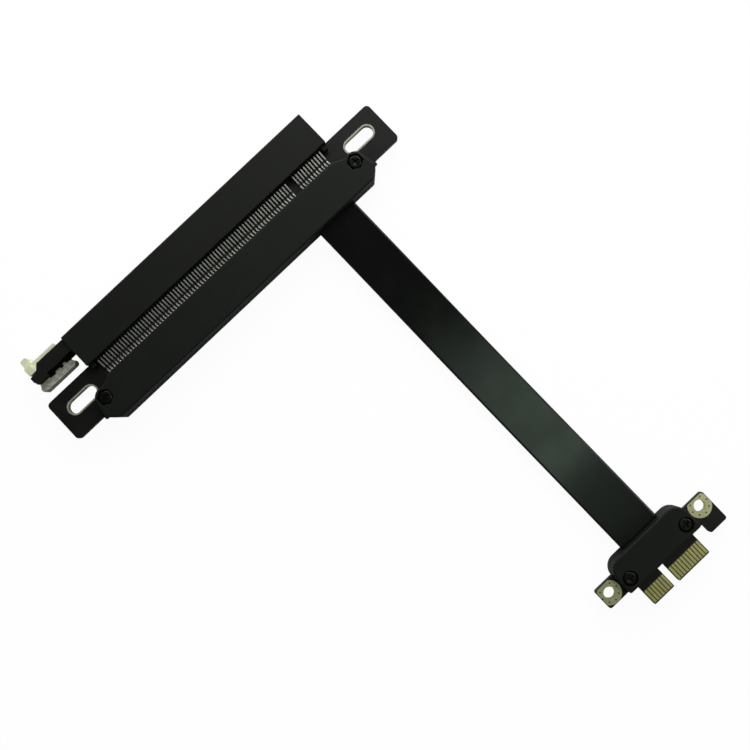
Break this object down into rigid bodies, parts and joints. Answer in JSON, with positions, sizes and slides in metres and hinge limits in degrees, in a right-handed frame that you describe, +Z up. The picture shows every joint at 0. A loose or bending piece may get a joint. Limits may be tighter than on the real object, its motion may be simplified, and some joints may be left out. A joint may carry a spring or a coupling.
{
  "type": "pcie extension cable",
  "caption": "Flat riser cable with a full-length card slot on an eared board at one end and a short edge plug on an eared board at the other.",
  "frame": {"origin": "middle of the part's footprint on the table, without the cable itself", "axes": "+X along the card slot towards its short contact group, +Y from the plug's tip to the slot's mouth, +Z up from the table to the side the picture shows"},
  "size_m": [0.121, 0.1658, 0.0075],
  "materials": {
    "housing_plastic": "fine matte moulding",
    "contact_metal": "plated contacts, satin",
    "latch_plastic": "cream moulding, satin",
    "rail_plastic": "grey moulding, satin",
    "circuit_board": "black solder mask, satin",
    "hole_plating": "tinned copper, satin",
    "cover_plastic": "fine matte moulding",
    "screw_steel": "black oxide steel",
    "cable_jacket": "smooth black jacket, satin",
    "conductor_copper": "bare copper strip"
  },
  "bodies": {
    "cable_assembly": {"slot_housing": "housing_plastic", "slot_contacts_upper": "contact_metal", "slot_contacts_lower": "contact_metal", "latch_rail": "rail_plastic", "slot_board": "circuit_board", "slot_hole_rims": "hole_plating", "slot_cover_upper": "cover_plastic", "slot_cover_lower": "cover_plastic", "slot_cover_screws": "screw_steel", "slot_cover_nuts": "screw_steel", "slot_end_pads": "conductor_copper", "slot_end_conductors": "conductor_copper", "ribbon_cable": "cable_jacket", "plug_end_conductors": "conductor_copper", "plug_end_pads": "conductor_copper", "plug_board": "circuit_board", "plug_fingers_upper": "contact_metal", "plug_fingers_lower": "contact_metal", "plug_hole_rings": "hole_plating", "plug_cover_upper": "cover_plastic", "plug_cover_lower": "cover_plastic", "plug_cover_screws": "screw_steel"},
    "latch": {"latch_lever": "latch_plastic"}
  },
  "joints": [
    {"name": "latch_hinge", "type": "hinge", "parent": "cable_assembly", "child": "latch", "pos_m": [-0.0561, 0.07643, 0.00375], "axis": [0, 0, 1], "range_deg": [0, 12]}
  ]
}
